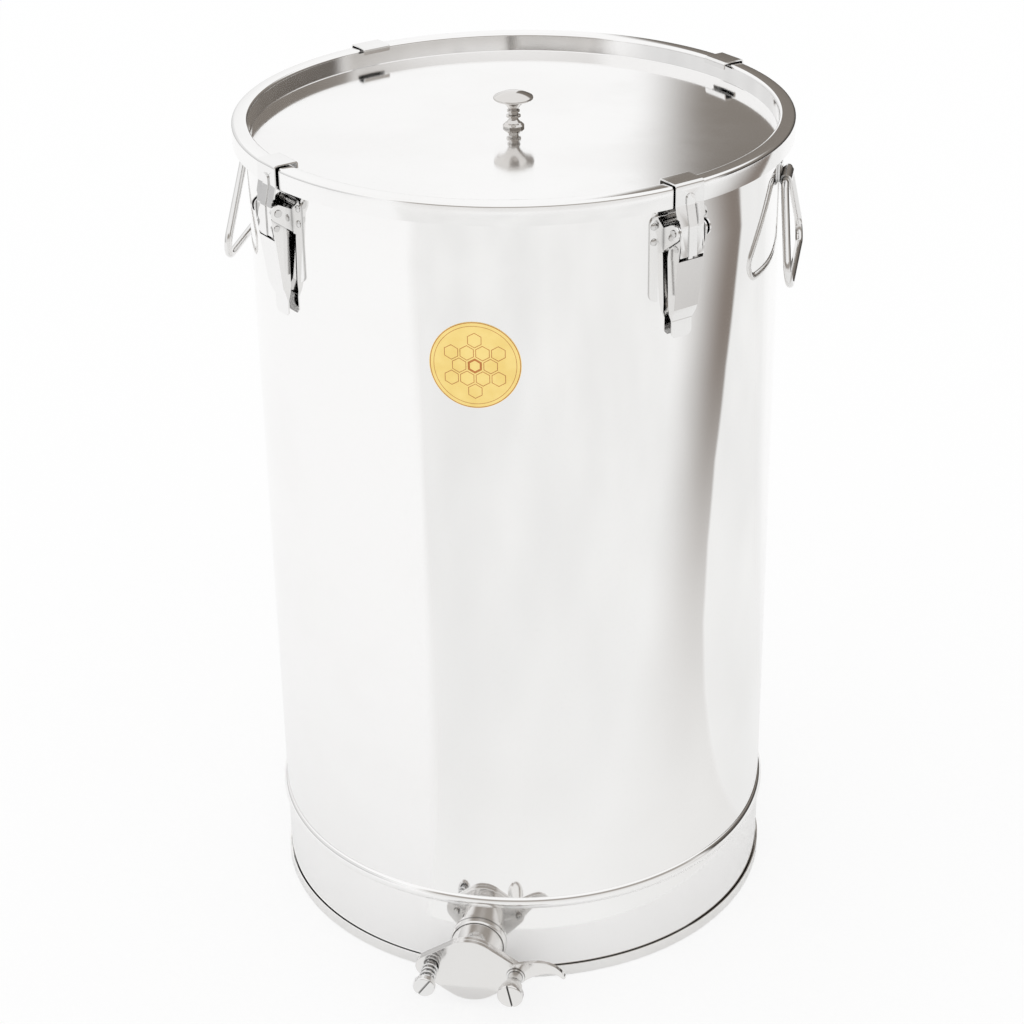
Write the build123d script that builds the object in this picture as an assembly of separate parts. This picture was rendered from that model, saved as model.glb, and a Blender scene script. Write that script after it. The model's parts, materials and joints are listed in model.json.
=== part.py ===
from build123d import *
import os
from math import asin, cos, degrees, radians, sin

# Stainless honey settling tank, millimetres. The tank's axis is Z, its foot ring stands on Z = 0
# and the honey gate points along -Y.

# Tank wall and its edges
SHEET = 0.8                  # wall, bottom and lid sheet
TANK_R = 200.0               # outside of the wall
LID_TOP = 651.0              # overall height
SEAT = 0.05                  # play between curved pieces that sit on each other
CUT = 20.0                   # how far a cutting shape runs past the piece it cuts
WEAVE = 1.0                  # how far two joined shapes run into each other
WALL_LOW = 0.85              # lower edge of the wall, inside the bottom's folded hem
BEAD_Z = 71.5                # middle of the swaged bead
BEAD_HALF = 5.0
BEAD_OUT = 3.0
CURL_R = 3.6                 # middle of the sheet in the rolled top edge
CURL_DROP = 10.0             # from the lid's top to the middle of the rolled edge

# Bottom disc
BOTTOM_Z = 10.4              # middle of the disc's sheet
HEM_TOP = 9.8
HEM_PLAY_IN = 0.2
HEM_PLAY_OUT = 0.8
HEM_BEND = 0.6

# Lid
RIM_OUT = 9.5                # how far the skirt stands out from the wall
RIM_WIDE = 12.5              # width of the rim, from the skirt to the well
WELL_DEEP = 14.5
SKIRT_DEEP = 15.3
LID_BEND = 2.2
PLATE_BEND = 1.1
GASKET_HALF = 3.2
GASKET_CORNER = 0.8

# Knob: radii, and heights over the lid's plate
KNOB_HEAD_R = 15.0
KNOB_BASE_R = 8.0
KNOB_BASE = 1.6
KNOB_CONE_R = 6.6
KNOB_CONE = 3.0
KNOB_NECK_R = 3.6
KNOB_BEAD_R = 5.4            # the two beads on its waist
KNOB_LOW_BEAD = 3.6
KNOB_LOW_WAIST = 6.0
KNOB_MID_WAIST = 7.2
KNOB_BEAD_LOW = 8.0
KNOB_BEAD_HIGH = 9.2
KNOB_HIGH_WAIST = 10.0
KNOB_TOP_WAIST = 11.4
KNOB_RING_R = 4.8
KNOB_RING_LOW = 12.0
KNOB_RING_HIGH = 13.0
KNOB_FLARE = 13.8            # height where the underside starts to flare
KNOB_BELLY_R = 7.2
KNOB_BELLY = 18.4
KNOB_RIM = 22.0              # height of the head's rim over the plate
KNOB_RIM_LOW = 0.6
KNOB_RIM_HIGH = 1.8
KNOB_RIM_ROUND = 1.0
KNOB_HEIGHT = 27.5
KNOB_HOLE_DEEP = 12.0
KNOB_SCREW_R = 2.5
KNOB_SCREW_FIT = 0.1
KNOB_SCREW_LONG = 14.0
KNOB_SCREW_HEAD_R = 4.8
KNOB_SCREW_HEAD = 3.2
KNOB_SCREW_SLOT = 1.2
KNOB_WASHER_R = 7.5

# Latches
LATCH_AZIMUTHS = {"front_left": -45.0, "front_right": 45.0, "rear_right": 135.0, "rear_left": -135.0}
LATCH_SHEET = 1.2
BASE_HALF = 25.0             # half width of the base plate
BASE_DROP = 22.0             # from the lid's top to the base plate
BASE_HIGH = 63.0
WINDOW_HALF = 18.5           # the base is open between its legs
WINDOW_DROP = 27.0           # from the base's upper edge to that window
BASE_CORNER = 6.0
EAR_IN = 13.0                # inner face of each ear
EAR_ROOT_LOW = 16.0          # the ear's foot on the plate, below and above its pin
EAR_ROOT_HIGH = 1.0
EAR_TIP_R = 6.0
RIVET_U = 21.8
RIVET_DROP = 7.0             # from the base's upper edge to the first rivet
RIVET_STEP = 11.3            # and from there to the next one
RIVET_R = 1.6
RIVET_HEAD_R = 2.6
RIVET_HEAD = 1.3
RIVET_EDGE = 0.45            # height of the head's rim under its dome
RIVET_TAIL = 0.9             # thickness of the head inside the tank
PIN_A_OUT = 11.5             # lever pin: distance from the wall, and below the base's upper edge
PIN_A_DROP = 10.5
PIN_A_RADIUS = 1.7
PIN_B_OUT = 0.4              # strap pin: distances from the lever's pin
PIN_B_DROP = 11.9
PIN_B_RADIUS = 1.5
PIN_HEAD = 1.1               # how far a head stands out round the lever's pin, and the strap's
STRAP_PIN_HEAD = 0.77
PIN_HEAD_THICK = 0.88        # thickness of each head
STRAP_PIN_HEAD_THICK = 0.62
PIN_HEAD_ROUND = 0.3
PIN_FIT = 0.08
LEVER_HALF = 11.8            # outer face of the lever's flanges
LEVER_LOBE_R = 5.0
LEVER_WEB_DROP = 21.3        # heights of the lever, all measured down from its pin
LEVER_BEND_DROP = 58.5
LEVER_NARROW_DROP = 63.5
LEVER_FLANGE_DROP = 67.0     # the flanges run out into the flat grip here
LEVER_GRIP_DROP = 68.5
LEVER_LOW_DROP = 81.5
LEVER_TOP_OUT = 2.1          # the web's front face at its top, in front of the pin
LEVER_BEND_IN = 2.5          # the same face where it bends, then at the grip, behind the pin
LEVER_GRIP_IN = 6.5
LEVER_BACK_IN = 8.9
LEVER_BEND_HALF = 10.3
LEVER_HEEL = 2.0             # how far the flange's heel is cut off
LEVER_SHOULDER_R = 4.0       # rounding where the channel runs into the grip
LEVER_SOFT_R = 3.0
GRIP_HALF = 8.7
GRIP_CORNER = 2.5
STRAP_HALF = 12.0            # over the rim
STRAP_LOW_HALF = 10.3        # between the lever's flanges
STRAP_NECK = 20.4            # heights over the strap's pin
STRAP_TAIL = 6.4             # how far the strap reaches below its pin
STRAP_OUT = 2.4              # middle of the strap's sheet, in front of its pin
STRAP_OVER = 0.7             # play between the strap and the lid's rim
STRAP_RIM_PLAY = 0.9         # play between the strap and the lid's skirt
HOOK_REACH = 3.8             # play between the hook's lip and the well
HOOK_LIP = 3.4
STRAP_EAR_R = 3.8
STRAP_CREASE = 5.0           # the bend towards the rim starts this far below the neck
STRAP_KINK = 10.0            # and ends this far above it
STRAP_CREASE_BEND = 8.0      # rounding of the strap's bends, from its lower end to the hook
STRAP_KINK_BEND = 8.0
STRAP_RIM_BEND = 2.0
HOOK_BEND = 1.6
STRAP_EYE_LOW = 6.0          # how far each eye's foot reaches below and above its pin
STRAP_EYE_HIGH = 8.0
RIB_HALF = 3.5
RIB_PROUD = 1.1
RIB_SUNK = 0.3               # the rib starts this far from the back of the strap's sheet
RIB_DROP = 6.0               # from the lid's top to the rib's upper end

# Bail handles
HANDLE_AZIMUTHS = {"left": -90.0, "right": 90.0}
BAIL_WIRE_R = 3.0
BAIL_FIT = 0.1
BAIL_OUT = 4.9               # hinge line of the bail: out from the wall, and below the lid's top
BAIL_HINGE_DROP = 43.0
BAIL_TOP_HALF = 20.0
BAIL_LOW_HALF = 63.0
BAIL_DROP = 69.0
BAIL_TILT = 7.0              # degrees that the bail stands off the wall at rest
BAIL_TOP_BEND = 5.0
BAIL_LOW_BEND = 13.0
BRACKET_SHEET = 1.5
BRACKET_HALF = 18.0
BRACKET_HIGH = 23.0          # from the hinge line to the bracket's upper edge
KNUCKLE_HALF = 11.0
HANDLE_RIVET_U = 11.0
HANDLE_RIVET_UP = 16.0       # from the hinge line to the rivets
BRACKET_CORNER = 4.0

# Honey gate
VALVE_Z = 33.2
BORE_R = 19.0
PIPE_R = 20.6
PIPE_FIT = 0.1
COLLAR_R = 22.3
COLLAR_HIGH = 5.5
COLLAR_EDGE = 1.0
PIPE_SUNK = 2.5              # how far the pipe reaches in past the wall's outside
FLANGE_OUT = 35.5            # from the wall to the flange's face
FLANGE_THICK = 4.0
DISC_R = 27.5
EAR_U = 34.0                 # the two ears of the flange, from the bore's axis
EAR_R = 9.0
PIVOT_U = 31.0               # the pivot screw, to the left
STUD_U = 36.5                # the clamp stud, to the right
SEAL_IN_R = 20.8
SEAL_OUT_R = 23.8
SEAL_DEEP = 1.8
GATE_THICK = 3.5
HORN_TIP = 74.5              # the horn grip, sideways and up from the bore's axis
HORN_TOP = [(EAR_U - 3, 9.5), (46, 13.2), (57, 14.6), (67, 12), (HORN_TIP, 4.6)]
HORN_UNDER = [(HORN_TIP - 1, 1.2), (64, 5.2), (55, 3.0), (47, -1.4), (EAR_U + 6, -8)]
SCREW_TAIL = 3.0             # how far the screw and the stud stand out behind the flange
SCREW_R = 3.0
SCREW_FIT = 0.08
SCREW_HEAD_R = 8.5
SCREW_HEAD = 5.0
SCREW_HEAD_EDGE = 1.2
SCREW_SLOT = 1.6
SCREW_SLOT_DEEP = 1.6
SCREW_SLOT_TURN = 35.0       # degrees that the slot leans
SPRING_R = 5.6
SPRING_WIRE_R = 0.9
SPRING_PITCH = 4.6
SPRING_TURNS = 4
SPRING_PLAY = 0.3
SLOT_PLAY = 0.6
STUD_LONG = 26.5             # from the flange's face to the stud's end
WASHER_R = 7.0
WASHER_THICK = 1.2
NUT_PLAY = 0.3
NUT_HUB_R = 5.6              # the nut's radius at the washer, and at its flared head
NUT_HEAD_R = 10.0
NUT_NECK = 7.0               # heights over the washer: end of the hub, start of the rim, face
NUT_FLARE = 19.0
NUT_HIGH = 24.5
NUT_SHOULDER_R = 8.2
NUT_SHOULDER = 13.0
NUT_EDGE = 1.4
NUT_SCOOP_R = 7.5            # the two finger scoops in its sides
NUT_SCOOP_U = 14.2
NUT_SLOT = 1.5
NUT_SLOT_DEEP = 2.0
NUT_SLOT_TURN = 12.0         # degrees that the slot leans

# Badge
BADGE_R = 32.5
BADGE_THICK = 0.3
BADGE_DROP = 121.3           # from the lid's top to the badge's middle
BADGE_AZIMUTH = 2.1

# Places that follow from the sizes above
CURL_Z = LID_TOP - CURL_DROP
LID_R = TANK_R + RIM_OUT
LID_INNER_R = LID_R - RIM_WIDE
LID_PLATE_Z = LID_TOP - WELL_DEEP
SKIRT_LOW = LID_TOP - SKIRT_DEEP
BASE_TOP = LID_TOP - BASE_DROP
BASE_LOW = BASE_TOP - BASE_HIGH
WINDOW_TOP = BASE_TOP - WINDOW_DROP
RIVET_ZS = (BASE_TOP - RIVET_DROP, BASE_TOP - RIVET_DROP - RIVET_STEP)
PIN_A_R = TANK_R + PIN_A_OUT
PIN_A_Z = BASE_TOP - PIN_A_DROP
PIN_B_R = PIN_A_R + PIN_B_OUT
PIN_B_Z = PIN_A_Z - PIN_B_DROP
LEVER_WEB_TOP = PIN_A_Z - LEVER_WEB_DROP
LEVER_BEND_Z = PIN_A_Z - LEVER_BEND_DROP
LEVER_NARROW_Z = PIN_A_Z - LEVER_NARROW_DROP
LEVER_FLANGE_END = PIN_A_Z - LEVER_FLANGE_DROP
LEVER_GRIP_Z = PIN_A_Z - LEVER_GRIP_DROP
LEVER_LOW = PIN_A_Z - LEVER_LOW_DROP
LEVER_FRONT_TOP = PIN_A_R + LEVER_TOP_OUT
LEVER_FRONT_BEND = PIN_A_R - LEVER_BEND_IN
LEVER_GRIP_R = PIN_A_R - LEVER_GRIP_IN
LEVER_BACK = PIN_A_R - LEVER_BACK_IN
STRAP_R = PIN_B_R + STRAP_OUT
STRAP_HIGH_R = LID_R + STRAP_RIM_PLAY + LATCH_SHEET / 2
STRAP_NECK_Z = PIN_B_Z + STRAP_NECK
STRAP_LOW = PIN_B_Z - STRAP_TAIL
RIB_HIGH = LID_TOP - RIB_DROP
BAIL_R = TANK_R + BAIL_OUT
BAIL_Z = LID_TOP - BAIL_HINGE_DROP
BRACKET_TOP = BAIL_Z + BRACKET_HIGH
HANDLE_RIVET_Z = BAIL_Z + HANDLE_RIVET_UP
COLLAR_OUT = TANK_R + COLLAR_HIGH
PIPE_IN = TANK_R - PIPE_SUNK
FLANGE_FACE = TANK_R + FLANGE_OUT
FLANGE_BACK = FLANGE_FACE - FLANGE_THICK
STUD_END = FLANGE_FACE + STUD_LONG
BADGE_Z = LID_TOP - BADGE_DROP
WALL_MID_R = TANK_R - SHEET / 2
WALL_IN_R = TANK_R - SHEET
FRONT = 0.0
STANDING = (Align.CENTER, Align.CENTER, Align.MIN)
HANGING = (Align.CENTER, Align.CENTER, Align.MAX)


def at(azimuth, shape):
    """Turn a piece modelled with X outward, Y sideways and Z up to its place round the tank."""
    return Rot(0, 0, azimuth - 90) * shape


def revolved(face):
    """Turn a profile drawn in (radius, height) round the tank's axis."""
    return revolve(Plane.XZ * face, Axis.Z)


def side_slab(face, low, high):
    """A profile in (radius, height), given thickness from low to high across the piece."""
    return Pos(0, high, 0) * extrude(Plane.XZ * face, high - low)


def front_slab(face, near, far):
    """A profile in (sideways, height), pushed outward from radius near to radius far."""
    return Pos(near, 0, 0) * extrude(Plane.YZ * face, far - near)


def round_x(radius, near, far, side=0.0, height=0.0):
    """A round bar along X."""
    return Pos(near, side, height) * extrude(Plane.YZ * Circle(radius), far - near)


def round_y(radius, low, high, distance, height):
    """A round bar across the piece, at a distance from the tank's axis."""
    return Pos(distance, high, height) * extrude(Plane.XZ * Circle(radius), high - low)


def both_sides(shape):
    """A piece and its mirror image on the other side of the middle plane."""
    return [shape, mirror(shape, Plane.XZ)]


def save(name, *shapes):
    """Write one node, as one or several solids."""
    solids = [solid for shape in shapes for solid in shape.solids()]
    item = solids[0] if len(solids) == 1 else Compound(children=solids)
    export_step(item, os.path.join("parts", f"{name}.step"))


def cap_arc(radius, low, high):
    """An arc of a ball centred on the axis, from a rim up to the axis, in (radius, height)."""
    rise = high - low
    ball = (radius**2 + rise**2) / (2 * rise)
    half_turn = asin(radius / ball) / 2
    return ThreePointArc(
        (radius, low), (ball * sin(half_turn), high - ball + ball * cos(half_turn)), (0, high)
    )


def rivet_hole(azimuth, side, height):
    """The hole of a rivet that stands square to the wall."""
    turn = degrees(asin(side / TANK_R))
    return at(azimuth + turn, round_x(RIVET_R, TANK_R - CUT, TANK_R + CUT, 0, height))


def rivet(azimuth, side, height, grip):
    """A rivet square to the wall, with a domed head outside and a flat one inside."""
    turn = degrees(asin(side / TANK_R))
    head_at = TANK_R + SEAT + grip
    shank = round_x(RIVET_R, WALL_IN_R - RIVET_TAIL, head_at + RIVET_EDGE / 2, 0, height)
    tail = round_x(RIVET_HEAD_R, WALL_IN_R - RIVET_TAIL, WALL_IN_R - SEAT, 0, height)
    outline = make_face([
        Polyline((0, RIVET_HEAD), (0, 0), (RIVET_HEAD_R, 0), (RIVET_HEAD_R, RIVET_EDGE)),
        cap_arc(RIVET_HEAD_R, RIVET_EDGE, RIVET_HEAD),
    ])
    head = Pos(head_at, 0, height) * Rot(0, 90, 0) * revolve(Plane.XZ * outline, Axis.Z)
    return at(azimuth + turn, shank + tail + head)


def latch_rivet_places():
    """Side and height of the four rivets of a latch."""
    return [(side, z) for side in (-RIVET_U, RIVET_U) for z in RIVET_ZS]


def handle_rivet_places():
    """Side and height of the two rivets of a handle."""
    return [(side, HANDLE_RIVET_Z) for side in (-HANDLE_RIVET_U, HANDLE_RIVET_U)]


def make_tank_body():
    """The wall: a rolled sheet with a swaged bead and a rolled top edge."""
    low_bead, high_bead = BEAD_Z - BEAD_HALF, BEAD_Z + BEAD_HALF
    crest = WALL_MID_R + BEAD_OUT
    curl_mid = WALL_MID_R + CURL_R
    line = [
        Line((WALL_MID_R, WALL_LOW), (WALL_MID_R, low_bead)),
        ThreePointArc((WALL_MID_R, low_bead), (crest, BEAD_Z), (WALL_MID_R, high_bead)),
        Line((WALL_MID_R, high_bead), (WALL_MID_R, CURL_Z)),
        ThreePointArc((WALL_MID_R, CURL_Z), (curl_mid, CURL_Z + CURL_R), (curl_mid + CURL_R, CURL_Z)),
        ThreePointArc(
            (curl_mid + CURL_R, CURL_Z),
            (curl_mid + CURL_R * sin(radians(45)), CURL_Z - CURL_R * cos(radians(45))),
            (curl_mid, CURL_Z - CURL_R),
        ),
    ]
    body = revolved(trace(line, SHEET))
    body -= at(FRONT, round_x(PIPE_R + PIPE_FIT, TANK_R - CUT, TANK_R + CUT, 0, VALVE_Z))
    for azimuth in LATCH_AZIMUTHS.values():
        for side, z in latch_rivet_places():
            body -= rivet_hole(azimuth, side, z)
    for azimuth in HANDLE_AZIMUTHS.values():
        for side, z in handle_rivet_places():
            body -= rivet_hole(azimuth, side, z)
    return body


def make_tank_bottom():
    """The bottom disc, its rim folded down and round the wall's lower edge."""
    inner = WALL_IN_R - HEM_PLAY_IN - SHEET / 2
    outer = TANK_R + HEM_PLAY_OUT + SHEET / 2
    line = FilletPolyline(
        (0, BOTTOM_Z), (inner, BOTTOM_Z), (inner, SHEET / 2), (outer, SHEET / 2), (outer, HEM_TOP),
        radius=HEM_BEND,
    )
    return revolved(trace(line, SHEET))


def make_lid():
    """The lid: a flat plate in a well, and a double-wall rim that drops over the rolled edge."""
    plate_mid = LID_PLATE_Z - SHEET / 2
    well = LID_INNER_R + SHEET / 2
    top = LID_TOP - SHEET / 2
    skirt = LID_R - SHEET / 2
    line = FilletPolyline(
        (0, plate_mid), (well, plate_mid), (well, top), (skirt, top), (skirt, SKIRT_LOW),
        radius=[PLATE_BEND, LID_BEND, LID_BEND],
    )
    return revolved(trace(line, SHEET)) - Pos(0, 0, LID_PLATE_Z) * Cylinder(KNOB_SCREW_R + KNOB_SCREW_FIT, CUT)


def make_gasket():
    """The soft ring under the lid's rim, resting on the rolled edge."""
    low = CURL_Z + CURL_R + SHEET / 2 + SEAT
    high = LID_TOP - SHEET
    middle = WALL_MID_R + CURL_R
    face = Pos(middle, (low + high) / 2) * RectangleRounded(2 * GASKET_HALF, high - low, GASKET_CORNER)
    return revolved(face)


def make_knob():
    """A turned knob: base ring, waist with two beads, flared underside and a shallow dished head."""
    waist = KNOB_NECK_R
    line = Polyline(
        (0, 0), (KNOB_BASE_R, 0), (KNOB_BASE_R, KNOB_BASE), (KNOB_CONE_R, KNOB_CONE), (KNOB_BEAD_R, KNOB_LOW_BEAD),
        (waist, KNOB_LOW_WAIST), (waist, KNOB_MID_WAIST), (KNOB_BEAD_R, KNOB_BEAD_LOW),
        (KNOB_BEAD_R, KNOB_BEAD_HIGH), (waist, KNOB_HIGH_WAIST), (waist, KNOB_TOP_WAIST),
        (KNOB_RING_R, KNOB_RING_LOW), (KNOB_RING_R, KNOB_RING_HIGH), (waist, KNOB_FLARE),
    )
    under = (KNOB_HEAD_R - KNOB_RIM_ROUND, KNOB_RIM - KNOB_RIM_LOW)
    over = (KNOB_HEAD_R - KNOB_RIM_ROUND, KNOB_RIM + KNOB_RIM_HIGH)
    flare = ThreePointArc((waist, KNOB_FLARE), (KNOB_BELLY_R, KNOB_BELLY), under)
    rim = ThreePointArc(under, (KNOB_HEAD_R, KNOB_RIM + KNOB_RIM_LOW), over)
    crown = cap_arc(*over, KNOB_HEIGHT)
    face = make_face([line, flare, rim, crown, Line((0, KNOB_HEIGHT), (0, 0))])
    knob = Pos(0, 0, LID_PLATE_Z) * revolved(face)
    return knob - Pos(0, 0, LID_PLATE_Z) * Cylinder(KNOB_SCREW_R, 2 * KNOB_HOLE_DEEP)


def make_knob_screw():
    """The pan-head screw that holds the knob from below."""
    under = LID_PLATE_Z - SHEET - WASHER_THICK
    shank = Pos(0, 0, under) * Cylinder(KNOB_SCREW_R, KNOB_SCREW_LONG, align=STANDING)
    head = Pos(0, 0, under) * Cylinder(KNOB_SCREW_HEAD_R, KNOB_SCREW_HEAD, align=HANGING)
    slot = Pos(0, 0, under - KNOB_SCREW_HEAD) * Box(CUT, KNOB_SCREW_SLOT, 2 * KNOB_SCREW_SLOT)
    return shank + head - slot


def make_knob_washer():
    """The washer under the lid's plate."""
    top = LID_PLATE_Z - SHEET
    disc = Pos(0, 0, top) * Cylinder(KNOB_WASHER_R, WASHER_THICK, align=HANGING)
    return disc - Pos(0, 0, top) * Cylinder(KNOB_SCREW_R + KNOB_SCREW_FIT, CUT)


def wrapped_plate(face, thickness):
    """A sheet cut to a (sideways, height) outline and rolled to lie on the wall."""
    slab = front_slab(face, TANK_R - 2 * CUT, TANK_R + CUT)
    low, high = slab.bounding_box().min.Z, slab.bounding_box().max.Z
    ring = Circle(TANK_R + SEAT + thickness) - Circle(TANK_R + SEAT)
    return slab & (Pos(0, 0, low) * extrude(ring, high - low))


def make_latch_base():
    """Base plate with two legs, and two ears bent out for the lever's pin."""
    wide = RectangleRounded(2 * BASE_HALF, BASE_TOP - BASE_LOW, BASE_CORNER)
    face = Pos(0, (BASE_TOP + BASE_LOW) / 2) * wide
    face -= Pos(0, (WINDOW_TOP + BASE_LOW - CUT) / 2) * Rectangle(2 * WINDOW_HALF, WINDOW_TOP - BASE_LOW + CUT)
    base = wrapped_plate(face, LATCH_SHEET)
    root = TANK_R + SEAT + LATCH_SHEET / 4
    ear = make_hull([
        *Polyline((root, PIN_A_Z - EAR_ROOT_LOW), (root, PIN_A_Z + EAR_ROOT_HIGH)).edges(),
        *(Pos(PIN_A_R, PIN_A_Z) * Circle(EAR_TIP_R)).edges(),
    ])
    ear -= Pos(PIN_A_R, PIN_A_Z) * Circle(PIN_A_RADIUS)
    for side in both_sides(side_slab(ear, EAR_IN, EAR_IN + LATCH_SHEET)):
        base += side
    for side, z in latch_rivet_places():
        base -= rivet_hole(0, side, z).rotate(Axis.Z, 90)
    return base


def softened(face, corner_z, radius):
    """Round the corners of a flat outline that lie at a height."""
    corners = [v for v in face.vertices() if abs(v.Y - corner_z) < SEAT]
    return fillet(corners, radius)


def lever_outline(shrink):
    """The lever seen from the side, its front drawn in by the sheet's thickness where asked."""
    lobe = (Pos(PIN_A_R, PIN_A_Z) * Circle(LEVER_LOBE_R)).edges()
    arm = make_hull([*lobe, *Polyline((LEVER_BACK, LEVER_WEB_TOP), (LEVER_FRONT_TOP, LEVER_WEB_TOP)).edges()])
    grip = LEVER_GRIP_R - shrink
    handle = make_face(Polyline(
        (LEVER_BACK, LEVER_WEB_TOP), (LEVER_FRONT_TOP - shrink, LEVER_WEB_TOP),
        (LEVER_FRONT_BEND - shrink, LEVER_BEND_Z), (grip, LEVER_GRIP_Z), (grip, LEVER_LOW),
        (grip - LATCH_SHEET, LEVER_LOW), (grip - LATCH_SHEET, LEVER_GRIP_Z - LATCH_SHEET),
        (LEVER_BACK, LEVER_BEND_Z + LEVER_HEEL),
        close=True,
    ))
    handle = softened(handle, LEVER_BEND_Z, LEVER_SOFT_R)
    handle = softened(handle, LEVER_GRIP_Z, LEVER_SOFT_R)
    return arm + softened(handle, LEVER_GRIP_Z - LATCH_SHEET, LEVER_SOFT_R)


def lever_front(shrink):
    """The lever seen from the front, each side drawn in by the sheet's thickness where asked."""
    top = PIN_A_Z + LEVER_LOBE_R + WEAVE
    half = [LEVER_HALF - shrink, LEVER_BEND_HALF - shrink, GRIP_HALF]
    right = [(half[0], top), (half[0], LEVER_WEB_TOP), (half[1], LEVER_NARROW_Z), (half[2], LEVER_GRIP_Z),
             (half[2], LEVER_LOW + GRIP_CORNER), (half[2] - GRIP_CORNER, LEVER_LOW)]
    left = [(-u, z) for u, z in reversed(right)]
    face = make_face(Polyline(*right, *left, close=True))
    return softened(softened(face, LEVER_NARROW_Z, LEVER_SHOULDER_R), LEVER_LOW + GRIP_CORNER, GRIP_CORNER)


def make_lever():
    """Channel lever: a web that narrows to the grip, and two flanges that reach up to the pin."""
    behind, before = TANK_R - CUT, TANK_R + 2 * CUT
    body = side_slab(lever_outline(0), -LEVER_HALF, LEVER_HALF) & front_slab(lever_front(0), behind, before)
    above_grip = Pos(0, LEVER_FLANGE_END) * Rectangle(4 * CUT, 6 * CUT, align=(Align.CENTER, Align.MIN))
    hollow = front_slab(lever_front(LATCH_SHEET) & above_grip, behind, before)
    hollow &= side_slab(lever_outline(LATCH_SHEET), -CUT, CUT)
    fork = Box(4 * CUT, 2 * (LEVER_HALF - LATCH_SHEET), 2 * CUT, align=STANDING)
    hollow += Pos(PIN_A_R, 0, LEVER_WEB_TOP) * fork
    back = LEVER_BACK + SEAT
    open_back = make_face(Polyline(
        (behind, LEVER_WEB_TOP), (back, LEVER_WEB_TOP), (back, LEVER_BEND_Z),
        (LEVER_GRIP_R - LATCH_SHEET, LEVER_FLANGE_END), (behind, LEVER_FLANGE_END), close=True,
    ))
    hollow += side_slab(open_back, -(LEVER_BEND_HALF - LATCH_SHEET), LEVER_BEND_HALF - LATCH_SHEET)
    body -= hollow
    body -= round_y(PIN_A_RADIUS + PIN_FIT, -CUT, CUT, PIN_A_R, PIN_A_Z)
    body -= round_y(PIN_B_RADIUS, -CUT, CUT, PIN_B_R, PIN_B_Z)
    return body


def pin_with_heads(radius, half, distance, height, head, thick):
    """A cross pin with a head at each end."""
    pin = round_y(radius, -half, half, distance, height)
    disc = round_y(radius + head, half, half + thick, distance, height)
    disc = fillet(disc.edges().filter_by(GeomType.CIRCLE).sort_by(Axis.Y)[-1], PIN_HEAD_ROUND)
    for side in both_sides(disc):
        pin += side
    return pin


def strap_face_line():
    """Where the strap's sheet runs in front of the wall, before it turns over the rim."""
    return [
        (STRAP_R, STRAP_LOW), (STRAP_R, STRAP_NECK_Z - STRAP_CREASE), (STRAP_HIGH_R, STRAP_NECK_Z + STRAP_KINK),
    ]


def strap_line():
    """The middle line of the strap's sheet in (radius, height), from its lower end to the hook's lip."""
    top = LID_TOP + STRAP_OVER + LATCH_SHEET / 2
    lip = LID_INNER_R - HOOK_REACH - LATCH_SHEET / 2
    return FilletPolyline(
        *strap_face_line(), (STRAP_HIGH_R, top), (lip, top), (lip, LID_TOP - HOOK_LIP),
        radius=[STRAP_CREASE_BEND, STRAP_KINK_BEND, STRAP_RIM_BEND, HOOK_BEND],
    )


def make_strap():
    """Hooked strap: its lower part runs between the lever's flanges, and a rib stiffens its face."""
    behind, before = TANK_R - CUT, TANK_R + 2 * CUT
    sheet = side_slab(trace(strap_line(), LATCH_SHEET), -STRAP_HALF, STRAP_HALF)
    right = [
        (STRAP_HALF, LID_TOP + CUT), (STRAP_HALF, STRAP_NECK_Z + STRAP_HALF - STRAP_LOW_HALF),
        (STRAP_LOW_HALF, STRAP_NECK_Z), (STRAP_LOW_HALF, STRAP_LOW),
    ]
    left = [(-u, z) for u, z in reversed(right)]
    strap = sheet & front_slab(make_face(Polyline(*right, *left, close=True)), behind, before)
    rib_line = FilletPolyline(*strap_face_line(), (STRAP_HIGH_R, RIB_HIGH), radius=STRAP_CREASE_BEND)
    rib_side = Pos((RIB_PROUD + RIB_SUNK) / 2, 0) * trace(rib_line, LATCH_SHEET + RIB_PROUD - RIB_SUNK)
    rib_low = STRAP_LOW - 2 * RIB_HALF
    rib_front = Pos(0, (rib_low + RIB_HIGH) / 2) * SlotOverall(RIB_HIGH - rib_low, 2 * RIB_HALF, rotation=90)
    strap += side_slab(rib_side, -RIB_HALF, RIB_HALF) & front_slab(rib_front, behind, before)
    eye = make_hull([
        *(Pos(PIN_B_R, PIN_B_Z) * Circle(STRAP_EAR_R)).edges(),
        *Polyline((STRAP_R, PIN_B_Z - STRAP_EYE_LOW), (STRAP_R, PIN_B_Z + STRAP_EYE_HIGH)).edges(),
    ])
    for side in both_sides(side_slab(eye, STRAP_LOW_HALF - LATCH_SHEET, STRAP_LOW_HALF)):
        strap += side
    return strap - round_y(PIN_B_RADIUS + PIN_FIT, -CUT, CUT, PIN_B_R, PIN_B_Z)


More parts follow.
